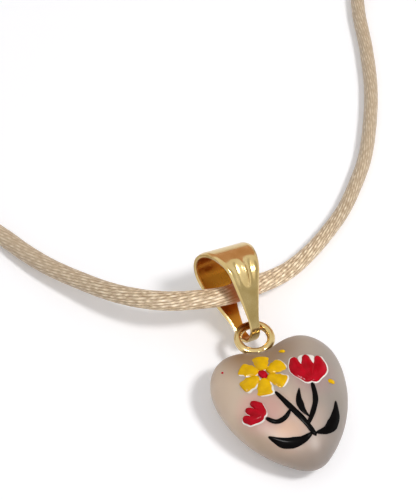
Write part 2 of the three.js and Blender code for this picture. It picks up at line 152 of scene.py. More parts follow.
bpy.ops.mesh.primitive_plane_add(size=8)
floor = bpy.context.object
floor.name = "floor"
floor_paper, tree, shader = new_material(
    "white paper floor", Roughness=0.9, Base_Color=linear("#FBFBFE"), Emission_Color=linear("#FFFFFF")
)
glow = node(
    tree, "ShaderNodeMath", {"operation": "MULTIPLY"}, _0=seen_directly(tree), _1=FLOOR_GLOW
)
tree.links.new(glow.outputs[0], shader.inputs["Emission Strength"])
floor.data.materials.append(floor_paper)

world = bpy.data.worlds.new("studio")
scene.world = world
world.use_nodes = True
tree = world.node_tree
background = tree.nodes["Background"]
background.inputs["Color"].default_value = linear("#FFFFFF")
sky = node(
    tree, "ShaderNodeMath", {"operation": "MULTIPLY_ADD"},
    _0=seen_directly(tree), _1=1 - LIGHTING_SKY, _2=LIGHTING_SKY,
)
tree.links.new(sky.outputs[0], background.inputs["Strength"])
print("the sky lights with", LIGHTING_SKY, "and the floor glows with", FLOOR_GLOW)

# %% [markdown]
# ## Lamp and cards
# One broad lamp stands high on the right, so a short soft shadow falls to the left. Polished metal
# would look pale among white walls, so a grey and a tan card stand where only reflections see
# them, as a photographer sets cards beside shiny metal. A small bright card, high on the left,
# gives the gilt and the enamel their glints.

# %% Lamp and reflection cards
KEY_LAMP_AT = Vector((0.2, -0.2, 0.46))
bpy.ops.object.light_add(type="AREA", location=KEY_LAMP_AT)
lamp = bpy.context.object
lamp.name = "key lamp"
lamp.rotation_euler = (-KEY_LAMP_AT).to_track_quat("-Z", "Y").to_euler()
lamp.data.shape = "DISK"
lamp.data.size = 0.11
lamp.data.energy = 1.45
lamp.data.color = linear("#FFFDFB")[:3]


def reflection_card(name, place, aim, size, colour, strength):
    bpy.ops.mesh.primitive_plane_add(size=size, location=place)
    card = bpy.context.object
    card.name = name
    card.rotation_euler = (Vector(aim) - Vector(place)).to_track_quat("Z", "Y").to_euler()
    card.visible_camera = False
    card.visible_diffuse = False
    card.visible_shadow = False
    card.visible_transmission = False
    paper, _, _ = new_material(
        name + " paper", Base_Color=linear("#000000"), Roughness=1.0,
        Emission_Color=linear(colour), Emission_Strength=strength,
    )
    card.data.materials.append(paper)
    print(name, "stands", round(Vector(place).length, 2), "m away")


reflection_card(
    "grey card", place=(1.0, -0.5, 0.75), aim=(0, 0, 0), size=1.1, colour="#D9D9D2", strength=0.85
)
reflection_card(
    "tan card", place=(0.6, 1.0, 0.3), aim=(0, 0, 0.1), size=1.3, colour="#D3A68C", strength=1.05
)
reflection_card(
    "bright card", place=(-0.5, -0.17, 0.83), aim=(0, 0, 0), size=0.16, colour="#FFFFFF", strength=55.0
)

# %% [markdown]
# ## Satin cord
# The cord is rattail: a soft tube of satin braid about two millimetres thick, made of fine bright
# strands that run along it. It is limp, so it lies on the table, and it rises only where the bail
# holds it up. The route repeats the CAD route: first the listed points, from the left end, through
# the bail, to the coil.

# %% Cord route points
CORD_DIAMETER = 2.2
TABLE_GAP = 0.02
CORD_LAID = CORD_DIAMETER / 2 + TABLE_GAP
IN_THE_BAIL = (-1.2, 17.3, 6.0)

hand_placed = [
    (-28.8, 48.9, CORD_LAID), (-26.8, 44.1, CORD_LAID),
    (-24.9, 40.3, 1.3), (-23.5, 37.3, 1.6), (-21.3, 33.3, 2.2), (-18.4, 29.1, 3.0),
    (-15.4, 25.1, 4.0), (-12.3, 21.8, 5.1), (-8.9, 19.2, 6.1), (-5.1, 17.6, 6.6),
    (-3.1, 17.2, 6.5), IN_THE_BAIL, (1.4, 18.1, 5.0), (4.1, 18.9, 4.0),
    (6.6, 19.6, 3.2), (9.3, 20.6, 2.5), (13.1, 22.7, 1.8), (17.0, 25.4, 1.3),
    (20.8, 28.4, CORD_LAID), (24.4, 32.2, CORD_LAID), (27.3, 35.8, CORD_LAID),
    (30.1, 40.5, CORD_LAID), (33.4, 47.4, CORD_LAID), (35.9, 54.8, CORD_LAID),
    (38.0, 62.6, CORD_LAID), (39.6, 66.2, CORD_LAID), (42.6, 68.6, CORD_LAID),
    (46.6, 69.6, CORD_LAID), (52.0, 69.4, CORD_LAID), (57.5, 68.5, CORD_LAID),
]
run_points = [np.array(point) for point in hand_placed]
print("points placed by hand:", len(run_points))

# %% [markdown]
# The spare length lies in a small coil: two loops wind inwards on the table, the cord climbs onto
# them in half a turn, and then it winds outwards again. A loop works the turns out.

# %% Cord coil
COIL_CENTRE = (64.5, 53.0)
COIL_ENTRY = math.radians(90)
COIL_RADIUS = 15
COIL_PITCH = 3.1
LOWER_LOOPS = 2
CLIMB = 0.5
UPPER_LOOPS = 1.75
COIL_TURNS = LOWER_LOOPS + CLIMB + UPPER_LOOPS
POINTS_PER_TURN = 24


def coil_point(turns):
    outward = max(0, turns - LOWER_LOOPS - CLIMB)
    radius = COIL_RADIUS - COIL_PITCH * (min(turns, LOWER_LOOPS) - outward)
    rise = min(1, max(0, (turns - LOWER_LOOPS) / CLIMB))
    height = COIL_PITCH * rise * rise * (3 - 2 * rise)
    angle = COIL_ENTRY - turns * 2 * math.pi
    x = COIL_CENTRE[0] + radius * math.cos(angle)
    y = COIL_CENTRE[1] + radius * math.sin(angle)
    return np.array((x, y, CORD_LAID + height))


coil_steps = int(COIL_TURNS * POINTS_PER_TURN) + 1
coil_points = [coil_point(turn) for turn in np.linspace(0, COIL_TURNS, coil_steps)]
print("points in the coil:", coil_steps)

# %% [markdown]
# Both ends go straight into metal end caps, whose bores lie a little higher than a cord on the
# table does. Then one smooth curve is drawn through all the points, and cut into even steps.

# %% Cord ends and smooth route
CAP_HEIGHT = 1.6
CAP_BORE = 3.2
LEFT_END = 9
RIGHT_END = 16
COIL_LEAD = 0.3
ROUTE_STEP = 0.45
FINE_STEPS = 24


def heading_between(start, end):
    return (end - start) / np.linalg.norm(end - start)


def end_stretch(start, heading, reach):
    """Two points at a cap's height: just before its mouth, and where the cord ends in it."""
    points = []
    for distance in (reach - CAP_BORE - CORD_DIAMETER / 2, reach):
        point = start + heading * distance
        point[2] = CAP_HEIGHT
        points.append(point)
    return points


def smooth_route(points):
    """A centripetal Catmull-Rom curve through the points, at even steps along it."""
    points = [2 * points[0] - points[1], *points, 2 * points[-1] - points[-2]]
    fine = []
    for p0, p1, p2, p3 in zip(points, points[1:], points[2:], points[3:]):
        t1 = np.linalg.norm(p1 - p0) ** 0.5
        t2 = t1 + np.linalg.norm(p2 - p1) ** 0.5
        t3 = t2 + np.linalg.norm(p3 - p2) ** 0.5
        for t in np.linspace(t1, t2, FINE_STEPS, endpoint=False):
            a1 = (t1 - t) / t1 * p0 + t / t1 * p1
            a2 = (t2 - t) / (t2 - t1) * p1 + (t - t1) / (t2 - t1) * p2
            a3 = (t3 - t) / (t3 - t2) * p2 + (t - t2) / (t3 - t2) * p3
            b1 = (t2 - t) / t2 * a1 + t / t2 * a2
            b2 = (t3 - t) / (t3 - t1) * a2 + (t - t1) / (t3 - t1) * a3
            fine.append((t2 - t) / (t2 - t1) * b1 + (t - t1) / (t2 - t1) * b2)
    fine = np.array([*fine, points[-2]])
    along = np.concatenate(([0], np.cumsum(np.linalg.norm(np.diff(fine, axis=0), axis=1))))
    places = np.linspace(0, along[-1], int(along[-1] / ROUTE_STEP) + 1)
    return np.stack([np.interp(places, along, fine[:, axis]) for axis in range(3)], axis=1)


left_end = end_stretch(run_points[0], heading_between(run_points[1], run_points[0]), LEFT_END)
tail_heading = heading_between(coil_point(COIL_TURNS - 0.01), coil_points[-1])
right_end = end_stretch(coil_points[-1] + tail_heading * COIL_LEAD, tail_heading, RIGHT_END)
route = smooth_route([*left_end[::-1], *run_points, *coil_points, *right_end])
route[:, 1] += row_shift
cord_length = float(np.linalg.norm(np.diff(route, axis=0), axis=1).sum())
print("cord length, mm:", round(cord_length, 1), "in", len(route), "steps")

# %% [markdown]
# ### How wide the braid lies
# The braid is soft. Where it goes through the bail and turns, it spreads a little and lies
# flatter. On the right, where nothing presses it, it is round, and near the caps it comes back to
# its plain size. Widths and heights are shares of the plain diameter, at every step.

# %% Width and height along the cord
LEFT_WIDTH = 1.17
LEFT_SPREAD = 0.2
LEFT_SPREAD_AT = -9
LEFT_SPREAD_REACH = 9
RIGHT_WIDTH = 0.92
RIGHT_SPREAD = 0.62
RIGHT_SPREAD_REACH = 12
SIDES_MEET_AT = 1
SIDES_MEET_REACH = 1.6
END_STAYS_PLAIN = 6
END_SETTLES_OVER = 12
UNSEEN_FROM = 75
UNSEEN_WIDTH = 0.93
ROUND_HEIGHT = 1.06
FLATTENING = 0.4
LEAST_HEIGHT = 0.85

along_cord = np.arange(len(route)) * (cord_length / (len(route) - 1))
crossing = np.array(IN_THE_BAIL) + (0, row_shift, 0)
bail_at = along_cord[np.argmin(np.linalg.norm(route - crossing, axis=1))]
from_bail = along_cord - bail_at

left_share = LEFT_WIDTH + LEFT_SPREAD * np.exp(-((from_bail - LEFT_SPREAD_AT) / LEFT_SPREAD_REACH) ** 2)
right_way = np.maximum(from_bail, 0) / RIGHT_SPREAD_REACH
right_share = RIGHT_WIDTH + RIGHT_SPREAD * np.exp(-right_way ** 2)
on_the_right = 1 / (1 + np.exp(-(from_bail - SIDES_MEET_AT) / SIDES_MEET_REACH))
width_share = left_share * (1 - on_the_right) + right_share * on_the_right

from_end = np.minimum(along_cord, cord_length - along_cord)
settled = np.clip((from_end - END_STAYS_PLAIN) / END_SETTLES_OVER, 0, 1)
width_share = 1 + (width_share - 1) * settled
unseen = from_bail > UNSEEN_FROM
width_share[unseen] = np.maximum(UNSEEN_WIDTH, width_share[unseen])
pressed_height = ROUND_HEIGHT - FLATTENING * (width_share - UNSEEN_WIDTH)
height_share = np.clip(pressed_height, LEAST_HEIGHT, 1.0)
print("the braid is", round(CORD_DIAMETER * width_share.max(), 2), "mm wide where it is widest")

# %% [markdown]
# ### Strands
# Eighteen strands show as low ridges that wind slowly round the cord, and each strand dips where
# it dives under its neighbour. The dips of each strand start at a place of their own, or they
# would look like brickwork. The tube is made ring by ring round the route.

# %% Rings of the braid
STRANDS = 18
SIDES = STRANDS * 5
FLOAT_LENGTH = 1.8
TWIST = 0.35
START_SPREAD = 0.37
WANDER = 0.35
WANDER_RATE = 0.9
CORE_SHARE = 0.94
RIDGE_SHARE = 0.07
DIP_SHARE = 0.02
RIDGE_POWER = 0.7

tangents = np.gradient(route, axis=0)
tangents /= np.linalg.norm(tangents, axis=1)[:, None]
sideways = np.cross((0, 0, 1), tangents)
sideways /= np.linalg.norm(sideways, axis=1)[:, None]
upward = np.cross(tangents, sideways)

angles = np.arange(SIDES) / SIDES * 2 * math.pi
strand_place = angles / (2 * math.pi) * STRANDS
rings = []
for step, way in enumerate(along_cord):
    strand = strand_place + TWIST * way
    ridge = np.abs(np.sin(math.pi * strand)) ** RIDGE_POWER
    number = np.floor(strand) % STRANDS
    own_start = START_SPREAD * number ** 2 + WANDER * np.sin(WANDER_RATE * way + 2 * number)
    dip = 0.5 + 0.5 * np.cos(2 * math.pi * (way / FLOAT_LENGTH + own_start))
    radius = CORD_DIAMETER / 2 * (CORE_SHARE + RIDGE_SHARE * ridge - DIP_SHARE * ridge * dip)
    out = (
        np.outer(radius * np.cos(angles) * width_share[step], sideways[step])
        + np.outer(radius * np.sin(angles) * height_share[step], upward[step])
    )
    rings.append((route[step] + out) * MM)
print("rings:", len(rings), "with", SIDES, "points each")

# %% [markdown]
# The rings are joined by four-sided faces, and a fan closes each end. A UV map goes with the
# faces: it counts millimetres along the cord one way and strands round it the other way.

# %% Cord mesh
last = len(route) - 1
left_middle = len(route) * SIDES
right_middle = left_middle + 1
faces = []
corner_uvs = []


def braid_uv(step, side):
    return along_cord[step], side / SIDES * STRANDS + TWIST * along_cord[step]


for step in range(last):
    for side in range(SIDES):
        corners = [(step, side), (step, side + 1), (step + 1, side + 1), (step + 1, side)]
        faces.append([ring * SIDES + place % SIDES for ring, place in corners])
        corner_uvs.extend(braid_uv(*corner) for corner in corners)
for side in range(SIDES):
    for middle, first, second in (
        (left_middle, (0, side + 1), (0, side)),
        (right_middle, (last, side), (last, side + 1)),
    ):
        fan = [ring * SIDES + place % SIDES for ring, place in (first, second)]
        faces.append([middle, *fan])
        corner_uvs.extend(braid_uv(*corner) for corner in (first, first, second))

verts = np.concatenate([*rings, route[:1] * MM, route[-1:] * MM])
cord_mesh = bpy.data.meshes.new("satin_cord")
cord_mesh.from_pydata([tuple(v) for v in verts], [], faces)
cord_uv = cord_mesh.uv_layers.new(name="lengthwise")
cord_uv.data.foreach_set("uv", np.array(corner_uvs).ravel())
cord_mesh.polygons.foreach_set("use_smooth", [True] * len(cord_mesh.polygons))
cord_mesh.update()
satin_cord = bpy.data.objects.new("satin_cord", cord_mesh)
scene.collection.objects.link(satin_cord)
print("cord faces:", len(faces))

# %% [markdown]
# ### Satin finish
# Satin is woven from smooth viscose filaments that float over several others, so it has a soft
# silky shine along the thread and darker dashes where a thread dives under. Both are painted into
# the colour below, as painted highlight and painted shade. Plain arithmetic on the UV map finds the
# middle of each strand and of each float, as the mesh has them. Each line of the list is one sum:
# its name, what it does, and the two values it does it to. A 0 stands where one value is enough.

# %% Strands and floats in the material
PAINTED_SHEEN_MIDDLE = 3
PAINTED_BOUNCE_MIDDLE = 1.9
DIVE_SHADE = 0.2
DOME_SHARPNESS = 0.6

satin, tree, shader = new_material(
    "ivory viscose satin braid",
    Roughness=0.34, IOR=1.5, Sheen_Weight=0.2, Sheen_Roughness=0.35, Anisotropic=0.5,
)
uv = node(tree, "ShaderNodeUVMap", {"uv_map": "lengthwise"}).outputs["UV"]
counted = node(tree, "ShaderNodeSeparateXYZ", Vector=uv).outputs
sums = {"millimetres": counted["X"], "strands": counted["Y"]}
for name, operation, first, second in (
    ("whole strands", "FLOOR", "strands", 0),
    ("strand number", "MODULO", "whole strands", STRANDS),
    ("number squared", "MULTIPLY", "strand number", "strand number"),
    ("spread start", "MULTIPLY", "number squared", START_SPREAD),
    ("wave by way", "MULTIPLY", "millimetres", WANDER_RATE),
    ("wave by strand", "MULTIPLY", "strand number", 2),
    ("wave angle", "ADD", "wave by way", "wave by strand"),
    ("wave", "SINE", "wave angle", 0),
    ("wander", "MULTIPLY", "wave", WANDER),
    ("strand start", "ADD", "spread start", "wander"),
    ("plain floats", "DIVIDE", "millimetres", FLOAT_LENGTH),
    ("floats passed", "ADD", "plain floats", "strand start"),
    ("float angle", "MULTIPLY", "floats passed", 2 * math.pi),
    ("dive", "COSINE", "float angle", 0),
    ("float drop", "MULTIPLY", "dive", -DIVE_SHADE),
    ("float height", "ADD", "float drop", 1 - DIVE_SHADE),
    ("strand angle", "MULTIPLY", "strands", math.pi),
    ("strand wave", "SINE", "strand angle", 0),
    ("strand dome", "ABSOLUTE", "strand wave", 0),
    ("strand height", "POWER", "strand dome", DOME_SHARPNESS),
    ("braid height", "MULTIPLY", "strand height", "float height"),
    # Distances along the cord for the painted sheen and the painted bounce light near the bail.
    ("past painted sheen", "SUBTRACT", "millimetres", bail_at + PAINTED_SHEEN_MIDDLE),
    ("from painted sheen", "ABSOLUTE", "past painted sheen", 0),
    ("past painted bounce", "SUBTRACT", "millimetres", bail_at + PAINTED_BOUNCE_MIDDLE),
    ("from painted bounce", "ABSOLUTE", "past painted bounce", 0),
):
    made = node(
        tree, "ShaderNodeMath", {"operation": operation}, _0=sums[first], _1=sums.get(second, second)
    )
    sums[name] = made.outputs[0]
print("sums in the braid:", len(sums))

# %% [markdown]
# Painted shade and painted highlight make a strand darkest in its furrow and palest on its crest,
# and long thin noise along the cord gives the single filaments. Round the bail, where the satin is
# stretched flat, a painted sheen brightens it. Further off this painted shade and highlight grow
# fainter, so there the braid nears one even tone. Under the bail's front leg a painted brown stands
# for the bail's shade and the warm light that the gilt throws onto the satin.

# %% Cord colours
# Painted shade in the furrows and painted highlight on the crests of the strands.
painted_strand_shade = node(
    tree, "ShaderNodeValToRGB", Fac=sums["braid height"],
    stops=[(0.05, "#A28C72"), (0.45, "#C2AD93"), (0.75, "#D3C3AB"), (0.98, "#F3E7D3")],
)
stretched = node(tree, "ShaderNodeMapping", Vector=uv, Scale=(1.1, 4.0, 1.0)).outputs["Vector"]
filaments = node(tree, "ShaderNodeTexNoise", Vector=stretched, Scale=1.3, Detail=4.0).outputs["Fac"]
filament_tone = node(
    tree, "ShaderNodeValToRGB", Fac=filaments,
    stops=[(0.36, "#4A443D"), (0.5, "#817A71"), (0.62, "#EDE4D9")],
)
plain_braid = node(
    tree, "ShaderNodeMix", {"data_type": "RGBA", "blend_type": "SOFT_LIGHT"},
    _0=0.95, _6=painted_strand_shade.outputs["Color"], _7=filament_tone.outputs["Color"],
).outputs[2]
shares = {}
for name, distance, near, far, when_near, when_far in (
    ("gain", "from painted sheen", 5, 22, 1.34, 1.0),
    ("evenness", "from painted sheen", 12, 34, 0.0, 0.55),
    ("painted bounce", "from painted bounce", 1.7, 3.0, 0.94, 0.0),
):
    shares[name] = node(
        tree, "ShaderNodeMapRange", Value=sums[distance], From_Min=near, From_Max=far,
        To_Min=when_near, To_Max=when_far,
    ).outputs["Result"]
even_braid = node(
    tree, "ShaderNodeMix", {"data_type": "RGBA"},
    _0=shares["evenness"], _6=plain_braid, _7=linear("#C4AF95"),
).outputs[2]
# Painted sheen: the colour is made brighter round the bail.
painted_sheen_braid = node(
    tree, "ShaderNodeVectorMath", {"operation": "SCALE"}, _0=even_braid, Scale=shares["gain"]
).outputs["Vector"]
# Painted bounce light and shade: the cord is tinted brown under the bail's front leg.
painted_bounce_braid = node(
    tree, "ShaderNodeMix", {"data_type": "RGBA"},
    _0=shares["painted bounce"], _6=painted_sheen_braid, _7=linear("#D07826"),
).outputs[2]
tree.links.new(painted_bounce_braid, shader.inputs["Base Color"])

relief = node(
    tree, "ShaderNodeMath", {"operation": "MULTIPLY_ADD"},
    _0=filaments, _1=0.5, _2=sums["braid height"],
).outputs[0]
bump = node(tree, "ShaderNodeBump", Strength=0.5, Distance=0.06 * MM, Height=relief)
tree.links.new(bump.outputs["Normal"], shader.inputs["Normal"])
satin_cord.data.materials.append(satin)

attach(satin_cord, "neck_cord")
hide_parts("cord_run", "cord_coil", "cord_tail")
print("nodes in the satin:", len(tree.nodes))

# %% [markdown]
# ## Working helpers
# An operator acts on whatever is selected, so each step first selects one piece and nothing else.
# In edit mode it acts on the selected faces, so all of them are selected on the way in. A modifier
# is applied at once, because a finished piece keeps its shape in its own mesh.

# %% Selection, modifiers and copies


def select_only(piece):
    bpy.ops.object.select_all(action="DESELECT")
    piece.select_set(True)
    bpy.context.view_layer.objects.active = piece


def edit_all_of(piece):
    select_only(piece)
    bpy.ops.object.mode_set(mode="EDIT")
    bpy.ops.mesh.select_all(action="SELECT")


def finish_with(piece, kind, **settings):
    modifier = piece.modifiers.new(kind.title(), kind)
    for key, value in settings.items():
        setattr(modifier, key, value)
    select_only(piece)
    bpy.ops.object.modifier_apply(modifier=modifier.name)


def smooth_shading(piece, degrees):
    """Faces that meet at less than this angle are shaded as one smooth surface."""
    select_only(piece)
    bpy.ops.object.shade_smooth_by_angle(angle=math.radians(degrees))


def merged_copy(node_name, name):
    """A copy of a CAD node with its loose triangles merged, ready to be refined."""
    piece = bpy.data.objects.new(name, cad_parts[node_name].data.copy())
    scene.collection.objects.link(piece)
    piece.data.materials.clear()
    edit_all_of(piece)
    bpy.ops.mesh.remove_doubles(threshold=0.002 * MM)
    bpy.ops.object.mode_set(mode="OBJECT")
    return piece


def join_pieces(pieces, name):
    select_only(pieces[0])
    for piece in pieces[1:]:
        piece.select_set(True)
    bpy.ops.object.join()
    joined = bpy.context.object
    joined.name = name
    return joined


def place_in_mesh(piece):
    """Puts the object's place and turn into its mesh, so that the object sits at the origin."""
    select_only(piece)
    bpy.ops.object.transform_apply(location=True, rotation=True, scale=True)


# %% [markdown]
# ## Frosted heart
# The bead is pressed glass with an etched skin, so it has no sharp edge anywhere. The CAD heart
# is a net of triangles with the right form. A copy is merged, its triangles are paired into
# quads, and a subdivision surface rounds it.

# %% Heart mesh
PAIRING_ANGLE = math.radians(40)

heart = merged_copy("heart_body", "frosted_heart")
edit_all_of(heart)
bpy.ops.mesh.tris_convert_to_quads(face_threshold=PAIRING_ANGLE, shape_threshold=PAIRING_ANGLE)
bpy.ops.object.mode_set(mode="OBJECT")
finish_with(heart, "SUBSURF", levels=2, render_levels=2)
smooth_shading(heart, 60)
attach(heart, "heart")
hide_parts("heart_body")
print("heart faces:", len(heart.data.polygons))

# %% [markdown]
# ### Etched glass
# Acid etching leaves a fine frost that scatters light, so the surface is rough and soft, while
# some light still goes into the glass and comes out warmer where the bead is thick. That light and
# shade is painted into the glass's colour: a painted warm glow lies low in the middle, painted
# shade darkens the rim round the tip, and round the cleft painted shade takes on the brown of the
# gilt's reflection. Beside the red paint a painted pink glow shows through the frost.
# Each spot has a row: where it lies, how far it reaches in mm, how strong it is, and its tint.

# %% Painted glow and shade in the glass
SPOT_HEIGHT = 7
TIP_SHADE_FROM = -1.0
TIP_SHADE_TO = -10.5

etched, tree, shader = new_material(
    "acid etched taupe glass", Roughness=0.42, IOR=1.5, Subsurface_Weight=0.6,
    Subsurface_Scale=2.5 * MM, Subsurface_Radius=(1.2, 1.0, 0.8), Coat_Weight=0.18, Coat_Roughness=0.36,
)
place = node(tree, "ShaderNodeTexCoord").outputs["Object"]
height_on_heart = node(tree, "ShaderNodeSeparateXYZ", Vector=place).outputs["Y"]
# Painted shade: the glass is painted darker towards the tip.
painted_tip_shade = node(
    tree, "ShaderNodeMapRange", Value=height_on_heart,
    From_Min=(TIP_SHADE_FROM + row_shift) * MM, From_Max=(TIP_SHADE_TO + row_shift) * MM,
)
glass_tone_and_painted_light = node(
    tree, "ShaderNodeValToRGB", Fac=painted_tip_shade.outputs["Result"],
    stops=[(0.0, "#D7C4B0"), (0.5, "#C4AF99"), (1.0, "#B49C86")],
).outputs["Color"]
# Painted spots: two warm glows, brown shade round the cleft, and two pink glows by the red paint.
for x, y, near, far, most, tint in (
    (-0.6, -5.6, 1.2, 6.2, 1.0, "#F3D2BC"),
    (-2.2, -7.0, 0.3, 3.2, 0.8, "#FBD2B4"),
    (-0.9, 7.6, 2.4, 7.6, 0.92, "#A07E58"),
    (3.9, 0.2, 1.5, 4.2, 0.6, "#E2A9A0"),
    (-4.4, -2.4, 1.5, 4.2, 0.6, "#E2A9A0"),
):
    spot = (x * MM, (y + row_shift) * MM, SPOT_HEIGHT * MM)
    away = node(tree, "ShaderNodeVectorMath", {"operation": "DISTANCE"}, _0=place, _1=spot)
    share = node(
        tree, "ShaderNodeMapRange", {"interpolation_type": "SMOOTHSTEP"}, Value=away.outputs["Value"],
        From_Min=near * MM, From_Max=far * MM, To_Min=most, To_Max=0.0,
    )
    glass_tone_and_painted_light = node(
        tree, "ShaderNodeMix", {"data_type": "RGBA"},
        _0=share.outputs["Result"], _6=glass_tone_and_painted_light, _7=linear(tint),
    ).outputs[2]
print("nodes for the spots:", len(tree.nodes))

# %% [markdown]
# The glass is a little cloudy. Painted shade makes it darker towards the right lobe, and painted
# shade darkens it where it is seen edge on. The frost itself is a very fine bump.

# %% Clouds, painted shade and frost
cloud = node(tree, "ShaderNodeTexNoise", Vector=place, Scale=260.0, Detail=3.0)
cloud_tone = node(
    tree, "ShaderNodeValToRGB", Fac=cloud.outputs["Fac"], stops=[(0.3, "#747474"), (0.7, "#8C8C8C")]
)
glass_tone_and_painted_light = node(
    tree, "ShaderNodeMix", {"data_type": "RGBA", "blend_type": "SOFT_LIGHT"},
    _0=0.5, _6=glass_tone_and_painted_light, _7=cloud_tone.outputs["Color"],
).outputs[2]
# Painted shade: the colour is made darker towards the right lobe.
to_the_right = node(
    tree, "ShaderNodeVectorMath", {"operation": "DOT_PRODUCT"}, _0=place, _1=(0.93, -0.366, 0)
)
painted_right_shade = node(
    tree, "ShaderNodeMapRange", Value=to_the_right.outputs["Value"],
    From_Min=-2.5 * MM, From_Max=8 * MM, To_Max=0.58,
)
# Painted shade: the colour is made darker where the glass is seen edge on.
facing = node(tree, "ShaderNodeLayerWeight", Blend=0.35).outputs["Facing"]
painted_rim_shade = node(
    tree, "ShaderNodeMapRange", Value=facing, From_Min=0.35, From_Max=1.0, To_Min=0.0, To_Max=0.7
)
for share, tint in ((painted_right_shade, "#6E7479"), (painted_rim_shade, "#84746A")):
    glass_tone_and_painted_light = node(
        tree, "ShaderNodeMix", {"data_type": "RGBA"},
        _0=share.outputs["Result"], _6=glass_tone_and_painted_light, _7=linear(tint),
    ).outputs[2]
tree.links.new(glass_tone_and_painted_light, shader.inputs["Base Color"])
frost = node(tree, "ShaderNodeTexNoise", Vector=place, Scale=9000.0, Detail=2.0).outputs["Fac"]
bump = node(tree, "ShaderNodeBump", Strength=0.15, Distance=0.02 * MM, Height=frost)
tree.links.new(bump.outputs["Normal"], shader.inputs["Normal"])
heart.data.materials.append(etched)
print("nodes in the glass:", len(tree.nodes))

# %% [markdown]
# ## Enamel painting
# Folk painting is built from single brush strokes. Each stroke is a drop of thick enamel: it is
# highest along its middle and thin at its rim. A flat grid is bent along the stroke's path,
# raised in the middle, laid down on the heart by casting rays from above, and given a back. Its
# edge wavers a little, as a brush leaves it.

# %% Brush strokes
ABOVE_THE_HEART = 20
PAINT_BACK = 0.1
SUNK_IN = 0.04
TIP_WIDTH = 0.12
TIP_HEIGHT = 0.15
DOME_POWER = 2.4

heart_surface = BVHTree.FromObject(heart, bpy.context.evaluated_depsgraph_get())


def surface_height(x, y):
    start = Vector((x, y, ABOVE_THE_HEART * MM))
    return heart_surface.ray_cast(start, Vector((0, 0, -1)))[0].z


def along_path(points, t):
    """A point and direction on a smooth curve through the given points."""
    way = t * (len(points) - 1)
    index = min(int(way), len(points) - 2)
    local = way - index
    nearest = [min(max(i, 0), len(points) - 1) for i in range(index - 1, index + 3)]
    p = [np.array(points[i], float) for i in nearest]
    a = 2 * p[1]
    b = p[2] - p[0]
    c = 2 * p[0] - 5 * p[1] + 4 * p[2] - p[3]
    d = -p[0] + 3 * p[1] - 3 * p[2] + p[3]
    point = 0.5 * (a + b * local + c * local ** 2 + d * local ** 3)
    heading = 0.5 * (b + 2 * c * local + 3 * d * local ** 2)
    return point, heading / max(np.linalg.norm(heading), 1e-6)


def brush_stroke(path, widths, lift=0.22, blunt=0.35):
    """Path, widths and lift are in mm on the heart's plan. Blunt is how much of it is its ends."""
    bpy.ops.mesh.primitive_grid_add(x_subdivisions=26, y_subdivisions=8, size=2)
    stroke = bpy.context.object
    for vertex in stroke.data.vertices:
        t = (vertex.co.x + 1) / 2
        across = vertex.co.y
        centre, heading = along_path(path, t)
        width = np.interp(t, np.linspace(0, 1, len(widths)), widths)
        end = max(0, (abs(2 * t - 1) - (1 - blunt)) / blunt)
        round_end = math.sqrt(max(0.0, 1 - end ** 2))
        waver = 1 + 0.05 * math.sin(9 * t + 3 * path[0][0]) + 0.03 * math.sin(23 * t + path[0][1])
        reach = across * width / 2 * (TIP_WIDTH + (1 - TIP_WIDTH) * round_end) * waver
        x = centre[0] - heading[1] * reach
        y = centre[1] + heading[0] * reach + row_shift
        dome = (1 - abs(across) ** DOME_POWER) * (TIP_HEIGHT + (1 - TIP_HEIGHT) * round_end)
        ground = surface_height(x * MM, y * MM)
        vertex.co = (x * MM, y * MM, ground + (lift * dome - SUNK_IN) * MM)
    finish_with(stroke, "SOLIDIFY", thickness=PAINT_BACK * MM, offset=-1)
    return stroke


# %% [markdown]
# Two kinds of flower are made of such strokes: a round one with petals that open outwards from its
# eye, and a tulip of three strokes from one base, two outer petals and the middle one on top.

# %% Flowers
PETALS = 6


def round_flower(centre, reach, width, turn, lift=0.36):
    strokes = []
    for number in range(PETALS):
        angle = turn + number * 2 * math.pi / PETALS
        way = np.array((math.cos(angle), math.sin(angle)))
        inner = np.array(centre) + way * reach * 0.2
        outer = np.array(centre) + way * reach
        widths = [width * 0.5, width, width * 1.05]
        strokes.append(brush_stroke([inner, (inner + outer) / 2, outer], widths, lift))
    return strokes


def tulip(base, way, size, lift=0.42):
    base, way = np.array(base), np.array(way) / np.linalg.norm(way)
    side = np.array((-way[1], way[0]))
    widths = [size * 0.34, size * 0.5, size * 0.2]
    strokes = []
    for lean in (-1, 1, 0):
        tip = base + way * size * (1.0 - 0.06 * abs(lean)) + side * lean * size * 0.36
        belly = base + way * size * 0.5 + side * lean * size * 0.34
        strokes.append(brush_stroke([base, belly, tip], widths, lift))
    return strokes


# %% [markdown]
# The picture is a small spray: a yellow flower and two red tulips on black stems with leaves. The
# painter first lays a thin white coat under the flowers, and it shows as a fine pale edge. Dabs of
# paint are nearly round. Strokes of one colour become one piece.

# %% Painted spray
LEAF = [0.15, 1.1, 1.5, 1.1, 0.15]
BUD = [0.1, 0.7, 1.1, 0.8, 0.1]
POINTED = 0.12
ROUND = 0.9
UNDERCOAT = 0.14

